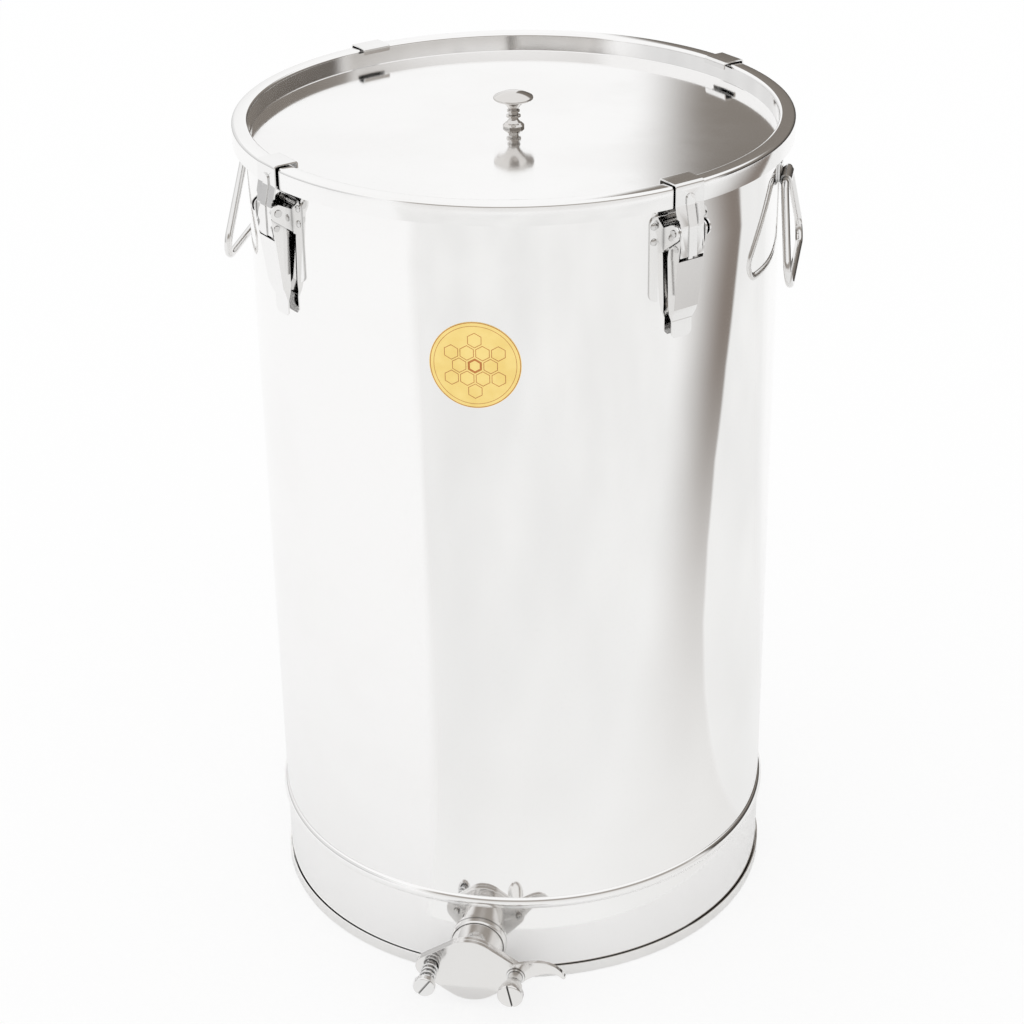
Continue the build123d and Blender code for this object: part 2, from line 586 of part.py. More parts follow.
def make_bracket():
    """Handle bracket: a plate on the wall whose lower edge is rolled into a knuckle."""
    knuckle_r = BAIL_WIRE_R + BAIL_FIT + BRACKET_SHEET
    outline = RectangleRounded(2 * BRACKET_HALF, BRACKET_TOP - BAIL_Z, BRACKET_CORNER)
    neck = Rectangle(2 * KNUCKLE_HALF, 2 * BRACKET_CORNER, align=(Align.CENTER, Align.MIN))
    bracket = wrapped_plate(Pos(0, (BRACKET_TOP + BAIL_Z) / 2) * outline + Pos(0, BAIL_Z) * neck, BRACKET_SHEET)
    barrel = round_y(knuckle_r, -KNUCKLE_HALF, KNUCKLE_HALF, BAIL_R, BAIL_Z)
    web = Box(BAIL_R - TANK_R - WEAVE, 2 * KNUCKLE_HALF, 2 * BRACKET_SHEET)
    bracket += barrel + Pos((BAIL_R + TANK_R + WEAVE) / 2, 0, BAIL_Z + WEAVE) * web
    bracket -= round_y(BAIL_WIRE_R + BAIL_FIT, -2 * CUT, 2 * CUT, BAIL_R, BAIL_Z)
    for side, z in handle_rivet_places():
        bracket -= rivet_hole(0, side, z).rotate(Axis.Z, 90)
    return bracket


def make_bail():
    """The bail: one closed ring of wire, narrow in the knuckle and wide below."""
    lean = Plane(origin=(BAIL_R, 0, BAIL_Z), x_dir=(0, 1, 0),
                 z_dir=(cos(radians(BAIL_TILT)), 0, sin(radians(BAIL_TILT))))
    corners = [
        (0, 0), (BAIL_TOP_HALF, 0), (BAIL_LOW_HALF, -BAIL_DROP), (-BAIL_LOW_HALF, -BAIL_DROP), (-BAIL_TOP_HALF, 0),
    ]
    path = FilletPolyline(
        *corners, close=True, radius=[0, BAIL_TOP_BEND, BAIL_LOW_BEND, BAIL_LOW_BEND, BAIL_TOP_BEND]
    )
    section = Plane(path @ 0, z_dir=path % 0) * Circle(BAIL_WIRE_R)
    return lean * sweep(section, path)


def valve_plate(near, far):
    """The lens outline shared by the flange and the gate: a disc with an ear at each side."""
    shape = make_hull([
        *Circle(DISC_R).edges(),
        *[edge for u in (-EAR_U, EAR_U) for edge in (Pos(u, 0) * Circle(EAR_R)).edges()],
    ])
    return Pos(0, 0, VALVE_Z) * front_slab(shape, near, far)


def make_collar():
    """The weld collar, cut to the wall's curve."""
    collar = round_x(COLLAR_R, TANK_R - CUT / 2, COLLAR_OUT, 0, VALVE_Z)
    collar = chamfer(collar.edges().filter_by(GeomType.CIRCLE).sort_by(Axis.X)[-1], COLLAR_EDGE)
    collar -= round_x(PIPE_R + PIPE_FIT, TANK_R - CUT, COLLAR_OUT + CUT, 0, VALVE_Z)
    return collar - Pos(0, 0, VALVE_Z) * Cylinder(TANK_R + SEAT, 4 * COLLAR_R)


def make_valve_body():
    """Pipe and flange, one casting, with a groove for the seal."""
    body = round_x(PIPE_R, PIPE_IN, FLANGE_BACK + WEAVE, 0, VALVE_Z) + valve_plate(FLANGE_BACK, FLANGE_FACE)
    body -= round_x(BORE_R, PIPE_IN - CUT, FLANGE_FACE + CUT, 0, VALVE_Z)
    body -= make_seal()
    for side in (-PIVOT_U, STUD_U):
        body -= round_x(SCREW_R, FLANGE_BACK - CUT, FLANGE_FACE + CUT, side, VALVE_Z)
    return body


def make_seal():
    """The flat seal ring, level with the flange's face."""
    ring = round_x(SEAL_OUT_R, FLANGE_FACE - SEAL_DEEP, FLANGE_FACE, 0, VALVE_Z)
    return ring - round_x(SEAL_IN_R, FLANGE_FACE - CUT, FLANGE_FACE + CUT, 0, VALVE_Z)


def make_gate():
    """The swinging gate: it turns on the left ear, its slot drops over the stud, and its horn lifts it."""
    gate_face = FLANGE_FACE + GATE_THICK
    gate = valve_plate(FLANGE_FACE, gate_face)
    tip = ThreePointArc(HORN_TOP[-1], (HORN_TIP + 0.7, 2.4), HORN_UNDER[0])
    grip = make_face([Spline(*HORN_TOP), tip, Spline(*HORN_UNDER), Line(HORN_UNDER[-1], HORN_TOP[0])])
    gate += Pos(0, 0, VALVE_Z) * front_slab(grip, FLANGE_FACE, gate_face)
    swing = PIVOT_U + STUD_U
    half = SCREW_R + SLOT_PLAY
    arc = Circle(swing + half) - Circle(swing - half)
    slot = Pos(-PIVOT_U, 0) * (arc & (Pos(swing, -swing) * Rectangle(2 * swing, 2 * swing)))
    slot += Pos(STUD_U, 0) * Circle(half)
    gate -= Pos(0, 0, VALVE_Z) * front_slab(slot, FLANGE_FACE - CUT, gate_face + CUT)
    return gate - round_x(SCREW_R + SCREW_FIT, FLANGE_FACE - CUT, gate_face + CUT, -PIVOT_U, VALVE_Z)


def spring_room():
    """How far the spring stretches between the gate and the screw's head."""
    return SPRING_TURNS * SPRING_PITCH + 2 * SPRING_WIRE_R + 2 * SPRING_PLAY


def make_pivot_screw():
    """The slotted screw that the gate turns on."""
    under_head = FLANGE_FACE + GATE_THICK + spring_room()
    screw = round_x(SCREW_R, FLANGE_BACK - SCREW_TAIL, under_head, -PIVOT_U, VALVE_Z)
    head = round_x(SCREW_HEAD_R, under_head, under_head + SCREW_HEAD, -PIVOT_U, VALVE_Z)
    head = fillet(head.edges().filter_by(GeomType.CIRCLE).sort_by(Axis.X)[-1], SCREW_HEAD_EDGE)
    slot = Box(2 * SCREW_SLOT_DEEP, SCREW_SLOT, 4 * SCREW_HEAD_R)
    return screw + head - Pos(under_head + SCREW_HEAD, -PIVOT_U, VALVE_Z) * Rot(-SCREW_SLOT_TURN, 0, 0) * slot


def make_spring():
    """The coil spring that presses the gate against its seal."""
    start = FLANGE_FACE + GATE_THICK + SPRING_PLAY + SPRING_WIRE_R
    coil = Helix(SPRING_PITCH, SPRING_PITCH * SPRING_TURNS, SPRING_R)
    section = Plane(coil @ 0, z_dir=coil % 0) * Circle(SPRING_WIRE_R)
    wire = sweep(section, coil, is_frenet=True)
    return Pos(start, -PIVOT_U, VALVE_Z) * Rot(0, 90, 0) * wire


def make_stud():
    """The clamp stud in the right ear."""
    return round_x(SCREW_R, FLANGE_BACK - SCREW_TAIL, STUD_END, STUD_U, VALVE_Z)


def make_clamp_washer():
    """The washer between the gate and the clamp nut."""
    near = FLANGE_FACE + GATE_THICK + NUT_PLAY
    disc = round_x(WASHER_R, near, near + WASHER_THICK, STUD_U, VALVE_Z)
    return disc - round_x(SCREW_R + SCREW_FIT, near - CUT, near + CUT, STUD_U, VALVE_Z)


def make_clamp_nut():
    """The flared thumb nut on the stud, with a slot in its face and a finger scoop at each side."""
    near = FLANGE_FACE + GATE_THICK + WASHER_THICK + 2 * NUT_PLAY
    outline = make_face([
        Polyline((NUT_HUB_R, NUT_NECK), (NUT_HUB_R, 0), (0, 0), (0, NUT_HIGH), (NUT_HEAD_R - NUT_EDGE, NUT_HIGH)),
        RadiusArc((NUT_HEAD_R - NUT_EDGE, NUT_HIGH), (NUT_HEAD_R, NUT_HIGH - NUT_EDGE), NUT_EDGE),
        Line((NUT_HEAD_R, NUT_HIGH - NUT_EDGE), (NUT_HEAD_R, NUT_FLARE)),
        ThreePointArc((NUT_HEAD_R, NUT_FLARE), (NUT_SHOULDER_R, NUT_SHOULDER), (NUT_HUB_R, NUT_NECK)),
    ])
    nut = revolve(Plane.XZ * outline, Axis.Z)
    nut -= Pos(0, 0, NUT_HIGH) * Rot(0, 0, NUT_SLOT_TURN) * Box(4 * NUT_HEAD_R, NUT_SLOT, 2 * NUT_SLOT_DEEP)
    scoop = Pos(0, NUT_SCOOP_U, 0) * Cylinder(NUT_SCOOP_R, NUT_FLARE, align=STANDING)
    for side in both_sides(scoop):
        nut -= side
    nut -= Cylinder(SCREW_R + SCREW_FIT, FLANGE_FACE + STUD_LONG - near + NUT_PLAY, align=STANDING)
    return Pos(near, STUD_U, VALVE_Z) * Rot(0, 90, 0) * nut


def make_badge():
    """The round badge, stuck on the wall."""
    return Pos(0, 0, BADGE_Z) * wrapped_plate(Circle(BADGE_R), BADGE_THICK)


def main():
    os.makedirs("parts", exist_ok=True)
    save("tank_body", make_tank_body())
    save("tank_bottom", make_tank_bottom())
    save("lid", make_lid())
    save("lid_gasket", make_gasket())
    save("lid_knob", make_knob())
    save("knob_screw", make_knob_screw())
    save("knob_washer", make_knob_washer())

    base, lever, strap = make_latch_base(), make_lever(), make_strap()
    lever_pin = pin_with_heads(PIN_A_RADIUS, EAR_IN + LATCH_SHEET, PIN_A_R, PIN_A_Z, PIN_HEAD, PIN_HEAD_THICK)
    strap_pin = pin_with_heads(
        PIN_B_RADIUS, LEVER_HALF, PIN_B_R, PIN_B_Z, STRAP_PIN_HEAD, STRAP_PIN_HEAD_THICK
    )
    for name, azimuth in LATCH_AZIMUTHS.items():
        save(f"latch_{name}_base", at(azimuth, base))
        save(f"latch_{name}_lever", at(azimuth, lever))
        save(f"latch_{name}_strap", at(azimuth, strap))
        save(f"latch_{name}_lever_pin", at(azimuth, lever_pin))
        save(f"latch_{name}_strap_pin", at(azimuth, strap_pin))
        rivets = [rivet(azimuth, side, z, LATCH_SHEET) for side, z in latch_rivet_places()]
        save(f"latch_{name}_rivets", *rivets)

    bracket, bail = make_bracket(), make_bail()
    for name, azimuth in HANDLE_AZIMUTHS.items():
        save(f"handle_{name}_bracket", at(azimuth, bracket))
        save(f"handle_{name}_bail", at(azimuth, bail))
        rivets = [rivet(azimuth, side, z, BRACKET_SHEET) for side, z in handle_rivet_places()]
        save(f"handle_{name}_rivets", *rivets)

    save("valve_collar", at(FRONT, make_collar()))
    save("valve_body", at(FRONT, make_valve_body()))
    save("valve_seal", at(FRONT, make_seal()))
    save("gate_plate", at(FRONT, make_gate()))
    save("gate_pivot_screw", at(FRONT, make_pivot_screw()))
    save("gate_spring", at(FRONT, make_spring()))
    save("clamp_stud", at(FRONT, make_stud()))
    save("clamp_washer", at(FRONT, make_clamp_washer()))
    save("clamp_nut", at(FRONT, make_clamp_nut()))
    save("badge", at(BADGE_AZIMUTH, make_badge()))


main()
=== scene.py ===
"""Looks of the honey settling tank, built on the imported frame. Metres, Z up, the gate points along -Y."""

import json
import logging
import math
from dataclasses import dataclass, field
from enum import Enum
from typing import Any, Callable, Iterable, Protocol, Sequence

import bmesh
import bpy
from mathutils import Matrix, Vector

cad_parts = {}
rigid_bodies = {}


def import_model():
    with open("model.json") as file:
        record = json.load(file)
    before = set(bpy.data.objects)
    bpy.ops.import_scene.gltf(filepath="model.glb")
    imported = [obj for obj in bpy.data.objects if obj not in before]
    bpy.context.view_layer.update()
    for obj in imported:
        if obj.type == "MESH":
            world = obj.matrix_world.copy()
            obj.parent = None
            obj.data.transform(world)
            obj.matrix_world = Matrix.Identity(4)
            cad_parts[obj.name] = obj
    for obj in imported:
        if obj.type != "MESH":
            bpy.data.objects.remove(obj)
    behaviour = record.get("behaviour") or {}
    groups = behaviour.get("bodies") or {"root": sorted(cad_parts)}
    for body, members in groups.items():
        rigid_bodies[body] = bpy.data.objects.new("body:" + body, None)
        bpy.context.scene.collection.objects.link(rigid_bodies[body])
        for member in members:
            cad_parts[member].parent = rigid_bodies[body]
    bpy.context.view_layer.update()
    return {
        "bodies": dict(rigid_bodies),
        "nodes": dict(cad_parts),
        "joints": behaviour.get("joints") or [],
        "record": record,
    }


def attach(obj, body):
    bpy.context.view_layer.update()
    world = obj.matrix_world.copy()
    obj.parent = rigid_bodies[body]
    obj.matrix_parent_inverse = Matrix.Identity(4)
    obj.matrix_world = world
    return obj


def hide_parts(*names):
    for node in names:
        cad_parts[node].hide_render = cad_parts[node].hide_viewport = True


LOG = logging.getLogger("tank")
MM = 0.001
ON_AXIS = 1e-6
TURN_STEPS = 360
SHARP_DEG = 35.0
Point = tuple[float, float]
Triple = tuple[float, float, float]
Colour = Triple
Socket = bpy.types.NodeSocket


class Grain(Enum):
    """Which way the fine marks of a surface run."""

    ROLLED = (1.0, 1.0, 0.03)
    ROUND = (1.0, 1.0, 1.0)
    CAST = (1.0, 1.0, 0.9)


class Form(Enum):
    """How a CAD node is carried over."""

    KEPT = "kept"
    SOFTENED = "softened"


class Finish(Protocol):
    """Anything that can build the material of a slot."""

    def material(self) -> bpy.types.Material:
        """Build the node material."""


def srgb(red: int, green: int, blue: int) -> Colour:
    """Turn screen values of 0 to 255 into linear light.

    Args:
        red, green, blue: The values on the screen.

    Returns:
        The three linear values.
    """
    def linear(value: float) -> float:
        """One channel."""
        value /= 255.0
        return value / 12.92 if value <= 0.04045 else ((value + 0.055) / 1.055) ** 2.4

    return linear(red), linear(green), linear(blue)


def shaded(colour: Colour, share: float) -> Colour:
    """A colour with each channel cut to a share of itself."""
    return tuple(share * channel for channel in colour)


class Graph:
    """A material's node tree, built with short calls."""

    def __init__(self, name: str) -> None:
        """Make an empty material.

        Args:
            name: The material's name.
        """
        self.material = bpy.data.materials.new(name)
        self.material.use_nodes = True
        self.tree = self.material.node_tree
        self.tree.nodes.clear()
        self.output = self.tree.nodes.new("ShaderNodeOutputMaterial")

    def add(self, kind: str, inputs: dict[Any, Any] | None = None, **settings: Any) -> bpy.types.Node:
        """Add a node.

        Args:
            kind: The node's type without its ShaderNode prefix.
            inputs: Input name or number to a plain value or to another node's output.
            **settings: Properties of the node.

        Returns:
            The new node.
        """
        node = self.tree.nodes.new("ShaderNode" + kind)
        for key, value in settings.items():
            setattr(node, key, value)
        for key, value in (inputs or {}).items():
            if isinstance(value, Socket):
                self.tree.links.new(value, node.inputs[key])
            else:
                node.inputs[key].default_value = value
        return node

    def place(self, scale: Sequence[float] = (1, 1, 1)) -> Socket:
        """The point in the object's own frame, stretched by scale."""
        coord = self.add("TexCoord")
        return self.add("Mapping", {"Vector": coord.outputs["Object"], "Scale": scale}).outputs["Vector"]

    def noise(self, scale: float, detail: float = 4.0, stretch: Sequence[float] = (1, 1, 1)) -> Socket:
        """A noise value around 0.5.

        Args:
            scale: Waves per metre.
            detail: Octaves.
            stretch: Scale along each axis before the noise.

        Returns:
            The noise's output.
        """
        vector = self.place(stretch)
        return self.add("TexNoise", {"Vector": vector, "Scale": scale, "Detail": detail}).outputs["Fac"]

    def spread(self, value: Socket, span: Point, out: Point = (0.0, 1.0)) -> Socket:
        """Map one span of a value to another, with soft ends.

        Args:
            value: What is mapped.
            span: The lowest and highest value that count.
            out: What these two become.

        Returns:
            The mapped value.
        """
        ends = {"From Min": span[0], "From Max": span[1], "To Min": out[0], "To Max": out[1]}
        node = self.add("MapRange", {"Value": value, **ends}, interpolation_type="SMOOTHSTEP")
        return node.outputs["Result"]

    def blend(self, share: Any, first: Any, second: Any) -> Socket:
        """Mix two colours.

        Args:
            share: How much of the second colour, a socket or a number.
            first, second: The colours, each a socket or a plain colour.

        Returns:
            The mixed colour.
        """
        def colour(value: Any) -> Any:
            """A plain colour with its alpha, or the socket as it is."""
            return value if isinstance(value, Socket) else (*value, 1.0)

        node = self.add("Mix", {0: share, 6: colour(first), 7: colour(second)}, data_type="RGBA")
        return node.outputs[2]

    def math(self, operation: str, first: Any, second: Any = 0.0) -> Socket:
        """One arithmetic step."""
        return self.add("Math", {0: first, 1: second}, operation=operation).outputs[0]

    def bump(self, height: Socket, depth: float, under: Socket | None = None) -> Socket:
        """Tilt the surface by a height.

        Args:
            height: The height, 0 to 1.
            depth: How deep 1 is, in metres.
            under: The normal that it is laid on, if not the mesh's own.

        Returns:
            The new normal.
        """
        inputs = {"Height": height, "Distance": depth, "Strength": 1.0}
        if under is not None:
            inputs["Normal"] = under
        return self.add("Bump", inputs).outputs["Normal"]

    def finish(self, shader: Socket) -> bpy.types.Material:
        """Join the shader to the output and return the material."""
        self.tree.links.new(shader, self.output.inputs["Surface"])
        return self.material


@dataclass(frozen=True)
class Weld:
    """The wall's long weld at the back, a dull line that wavers a little. Widths in metres."""

    colour: Colour = (0.42, 0.41, 0.40)
    strength: float = 0.55
    edge: Point = (0.0004, 0.0016)
    wobble: float = 0.0006
    wobble_scale: float = 60.0

    def share(self, g: Graph) -> Socket:
        """Where the weld runs.

        Args:
            g: The material that it is drawn in.

        Returns:
            The weld's strength on its line, 0 beside it and on the front half.
        """
        place = g.add("SeparateXYZ", {0: g.add("TexCoord").outputs["Object"]})
        waver = g.math("MULTIPLY", g.math("SUBTRACT", g.noise(self.wobble_scale, 2.0), 0.5), self.wobble)
        aside = g.math("ABSOLUTE", g.math("ADD", place.outputs[0], waver))
        behind = g.math("GREATER_THAN", place.outputs[1], 0.0)
        line = g.math("MULTIPLY", g.spread(aside, self.edge, (1.0, 0.0)), behind)
        return g.math("MULTIPLY", line, self.strength)


@dataclass(frozen=True)
class PaintedCornerShade:
    """Painted shade: darkness painted into narrow corners, slots and gaps, as far in metres as reach."""

    reach: float
    # colour that the painted shade darkens the corners to
    colour: Colour = (0.03, 0.028, 0.026)
    open_span: Point = (0.15, 0.8)

    def over(self, g: Graph, colour: Socket) -> Socket:
        """The colour with painted shade in its corners."""
        # painted shade: ambient occlusion darkens the colour where parts crowd close
        free = g.add("AmbientOcclusion", {"Distance": self.reach}, samples=8).outputs["AO"]
        return g.blend(g.spread(free, self.open_span), self.colour, colour)


@dataclass(frozen=True)
class SteelFinish:
    """Polished stainless steel with faint stains, fine marks, a waviness of its sheet and, if given, painted
    shade in its corners.
    """

    name: str
    tint: Colour = (0.93, 0.925, 0.915)
    stain: Colour = (0.80, 0.785, 0.765)
    stain_share: float = 0.35
    cloud_scale: float = 9.0
    speck_scale: float = 420.0
    speck_share: float = 0.5
    roughness: float = 0.08
    scuffed: float = 0.16
    grain: Grain = Grain.ROLLED
    grain_scale: float = 900.0
    grain_depth: float = 0.000004
    grain_share: float = 0.6
    wave_scale: float = 5.0
    wave_stretch: Triple = (1, 1, 0.5)
    wave_depth: float = 0.0
    # painted shade in corners, slots and gaps, if given
    painted_corner_shade: PaintedCornerShade | None = None
    weld: Weld | None = None

    def colour(self, g: Graph, cloud: Socket) -> Socket:
        """The steel's colour with its stains, weld and painted shade in its corners.

        Args:
            g: The material.
            cloud: Where the stains lie.

        Returns:
            The colour.
        """
        speck = g.spread(g.noise(self.speck_scale, 3.0), (0.55, 0.75))
        stained = g.math("ADD", cloud, g.math("MULTIPLY", speck, self.speck_share))
        colour = g.blend(g.math("MULTIPLY", stained, self.stain_share), self.tint, self.stain)
        if self.weld:
            colour = g.blend(self.weld.share(g), colour, self.weld.colour)
        # painted shade in corners, slots and gaps
        if self.painted_corner_shade:
            colour = self.painted_corner_shade.over(g, colour)
        return colour

    def material(self) -> bpy.types.Material:
        """Build the node material.

        Returns:
            The material.
        """
        g = Graph(self.name)
        cloud = g.spread(g.noise(self.cloud_scale, 6.0), (0.42, 0.72))
        colour = self.colour(g, cloud)
        marks = g.noise(self.grain_scale, 5.0, self.grain.value)
        worn = g.math("ADD", g.math("MULTIPLY", marks, self.grain_share),
                      g.math("MULTIPLY", cloud, 1.0 - self.grain_share))
        rough = g.spread(worn, (0.2, 0.8), (self.roughness, self.scuffed))
        normal = g.bump(marks, self.grain_depth)
        if self.wave_depth:
            normal = g.bump(g.noise(self.wave_scale, 1.0, self.wave_stretch), self.wave_depth, normal)
        shader = g.add("BsdfPrincipled", {
            "Base Color": colour, "Metallic": 1.0, "Roughness": rough, "Normal": normal,
        })
        return g.finish(shader.outputs["BSDF"])


@dataclass(frozen=True)
class RubberFinish:
    """Food grade silicone with a dusty sheen."""

    name: str
    tint: Colour = (0.70, 0.69, 0.65)
    dust_scale: float = 160.0
    dust_shade: float = 0.85
    roughness: Point = (0.45, 0.62)
    pore_scale: float = 1500.0
    pore_depth: float = 0.00003

    def material(self) -> bpy.types.Material:
        """Build the node material.

        Returns:
            The material.
        """
        g = Graph(self.name)
        dust = g.spread(g.noise(self.dust_scale, 5.0), (0.4, 0.7))
        colour = g.blend(dust, self.tint, shaded(self.tint, self.dust_shade))
        normal = g.bump(g.noise(self.pore_scale), self.pore_depth)
        shader = g.add("BsdfPrincipled", {
            "Base Color": colour, "Roughness": g.spread(dust, (0.0, 1.0), self.roughness),
            "Normal": normal, "Subsurface Weight": 0.1, "Sheen Weight": 0.2,
        })
        return g.finish(shader.outputs["BSDF"])


@dataclass(frozen=True)
class PrintFinish:
    """Printed foil under a clear coat, its ink a little uneven."""

    name: str
    tint: Colour
    edge: Colour
    roughness: Point = (0.3, 0.4)
    ink_scale: float = 60.0
    ink_share: float = 0.7
    dot_scale: float = 2600.0
    dot_share: float = 0.3
    foil_scale: float = 700.0
    foil_depth: float = 0.00001

    def material(self) -> bpy.types.Material:
        """Build the node material.

        Returns:
            The material.
        """
        g = Graph(self.name)
        ink = g.spread(g.noise(self.ink_scale, 5.0), (0.35, 0.75))
        dots = g.spread(g.noise(self.dot_scale, 2.0), (0.5, 0.7))
        share = g.math("ADD", g.math("MULTIPLY", ink, self.ink_share), g.math("MULTIPLY", dots, self.dot_share))
        shader = g.add("BsdfPrincipled", {
            "Base Color": g.blend(share, self.tint, self.edge),
            "Roughness": g.spread(dots, (0.0, 1.0), self.roughness),
            "Coat Weight": 0.25, "Coat Roughness": 0.1,
            "Normal": g.bump(g.noise(self.foil_scale, 2.0), self.foil_depth),
        })
        return g.finish(shader.outputs["BSDF"])


@dataclass(frozen=True)
class FloorFinish:
    """White paper, lit from behind for the camera so that only a faint shadow stays."""

    name: str = "floor_paper"
    tint: Colour = (1.0, 1.0, 1.0)
    fibre_scale: float = 300.0
    fibre_shade: float = 0.995
    own_light: float = 0.78

    def material(self) -> bpy.types.Material:
        """Build the node material.

        Returns:
            The material.
        """
        g = Graph(self.name)
        fibre = g.spread(g.noise(self.fibre_scale), (0.3, 0.7))
        colour = g.blend(fibre, self.tint, shaded(self.tint, self.fibre_shade))
        paper = g.add("BsdfDiffuse", {"Color": colour}).outputs["BSDF"]
        glow = g.add("Emission", {"Color": colour, "Strength": 1.0}).outputs[0]
        seen = g.math("MULTIPLY", g.add("LightPath").outputs["Is Camera Ray"], self.own_light)
        return g.finish(g.add("MixShader", {0: seen, 1: paper, 2: glow}).outputs[0])


@dataclass(frozen=True)
class CardFinish:
    """A dim part of the room, or a painted shadow on the floor, seen only in reflections, clear towards its
    soft edges.

    Its colour goes from near to far along V, over span. Soft holds how wide the clear edge is at the start
    and end of U and at the start and end of V.
    """

    name: str
    near: Colour
    far: Colour
    span: Point = (0.0, 1.0)
    soft: tuple[float, float, float, float] = (0.1, 0.1, 0.1, 0.1)
    wash_scale: float = 2.0
    wash: Point = (0.92, 1.0)

    def material(self) -> bpy.types.Material:
        """Build the node material.

        Returns:
            The material.
        """
        g = Graph(self.name)
        uv = g.add("SeparateXYZ", {0: g.add("TexCoord").outputs["UV"]})
        share: Any = 1.0
        for axis in (0, 1):
            value = uv.outputs[axis]
            for side, soft in zip((value, g.math("SUBTRACT", 1.0, value)), self.soft[2 * axis:]):
                if soft:
                    share = g.math("MULTIPLY", share, g.spread(side, (0.0, soft)))
        wash = g.spread(g.noise(self.wash_scale, 2.0), (0.2, 0.8), self.wash)
        colour = g.blend(g.spread(uv.outputs[1], self.span), self.near, self.far)
        light = g.add("Emission", {"Color": colour, "Strength": wash})
        clear = g.add("BsdfTransparent")
        return g.finish(g.add("MixShader", {0: share, 1: clear.outputs[0], 2: light.outputs[0]}).outputs[0])


def arc(centre: Point, radius: float, start: float, end: float, steps: int = 8) -> list[Point]:
    """Points on an arc.

    Args:
        centre: Its centre.
        radius: Its radius.
        start, end: Its first and last angle, in degrees.
        steps: How many pieces it has.

    Returns:
        The points, ends included.
    """
    angles = [math.radians(start + (end - start) * i / steps) for i in range(steps + 1)]
    return [(centre[0] + radius * math.cos(a), centre[1] + radius * math.sin(a)) for a in angles]


def rounded(points: Sequence[Point], radii: Sequence[float], steps: int = 6) -> list[Point]:
    """Round the inner corners of an open line.

    Args:
        points: The line's corners.
        radii: One radius for each inner corner.
        steps: How many pieces each bend has.

    Returns:
        The points of the rounded line.
    """
    line = [tuple(points[0])]
    for before, corner, after, radius in zip(points, points[1:], points[2:], radii):
        a, b, c = Vector(before), Vector(corner), Vector(after)
        u, v = (a - b).normalized(), (c - b).normalized()
        half = u.angle(v) / 2
        reach = radius / math.tan(half)
        middle = b + (u + v).normalized() * (radius / math.sin(half))
        p, q = b + u * reach - middle, b + v * reach - middle
        turn = p.angle_signed(q)
        for i in range(steps + 1):
            line.append(tuple(middle + Matrix.Rotation(-turn * i / steps, 2) @ p))
    line.append(tuple(points[-1]))
    return line


def sheet(line: Sequence[Point], thickness: float) -> list[Point]:
    """The closed outline of a sheet that follows a line.

    Args:
        line: The middle of the sheet.
        thickness: The sheet's thickness.

    Returns:
        The outline, one side and then the other.
    """
    sides: tuple[list[Point], list[Point]] = ([], [])
    for i, point in enumerate(line):
        a = Vector(line[max(i - 1, 0)])
        b = Vector(line[min(i + 1, len(line) - 1)])
        along = (b - a).normalized()
        across = Vector((-along.y, along.x)) * thickness / 2
        sides[0].append(tuple(Vector(point) + across))
        sides[1].append(tuple(Vector(point) - across))
    return sides[0] + sides[1][::-1]


def mesh_object(name: str, mesh: bmesh.types.BMesh) -> bpy.types.Object:
    """Turn mesh data into a shown object, smooth apart from its sharp edges.

    Args:
        name: The piece's name.
        mesh: Its geometry in metres, freed here.

    Returns:
        The object, at the origin.
    """
    bmesh.ops.recalc_face_normals(mesh, faces=mesh.faces)
    for face in mesh.faces:
        face.smooth = True
    data = bpy.data.meshes.new(name)
    mesh.to_mesh(data)
    mesh.free()
    data.set_sharp_from_angle(angle=math.radians(SHARP_DEG))
    item = bpy.data.objects.new(name, data)
    bpy.context.collection.objects.link(item)
    return item


def lathe(outline: Sequence[Point], segments: int = TURN_STEPS) -> bmesh.types.BMesh:
    """Turn a closed outline round Z.

    Args:
        outline: Radius and height in millimetres. Points on the axis close the form.
        segments: Steps round the axis.

    Returns:
        The mesh in metres.
    """
    mesh = bmesh.new()
    turns = [2 * math.pi * i / segments for i in range(segments)]
    rings = []
    for radius, height in outline:
        if radius < ON_AXIS:
            rings.append([mesh.verts.new((0, 0, height * MM))] * segments)
            continue
        circle = ((radius * MM * math.cos(t), radius * MM * math.sin(t)) for t in turns)
        rings.append([mesh.verts.new((x, y, height * MM)) for x, y in circle])
    for first, second in zip(rings, rings[1:] + rings[:1]):
        for i in range(segments):
            j = (i + 1) % segments
            corners = list(dict.fromkeys((first[i], first[j], second[j], second[i])))
            if len(corners) > 2:
                mesh.faces.new(corners)
    return mesh


def bake(item: bpy.types.Object) -> None:
    """Apply all of an object's modifiers to its mesh.

    Args:
        item: The object.
    """
    graph = bpy.context.evaluated_depsgraph_get()
    data = bpy.data.meshes.new_from_object(item.evaluated_get(graph))
    item.modifiers.clear()
    item.data = data


def cut(item: bpy.types.Object, tool: bpy.types.Object) -> None:
    """Take the tool's volume from the item's mesh and delete the tool.

    Args:
        item: The object that is cut.
        tool: A closed object.
    """
    step = item.modifiers.new("cut", "BOOLEAN")
    step.operation, step.solver, step.object = "DIFFERENCE", "EXACT", tool
    bake(item)
    bpy.data.objects.remove(tool)
    item.data.set_sharp_from_angle(angle=math.radians(SHARP_DEG))


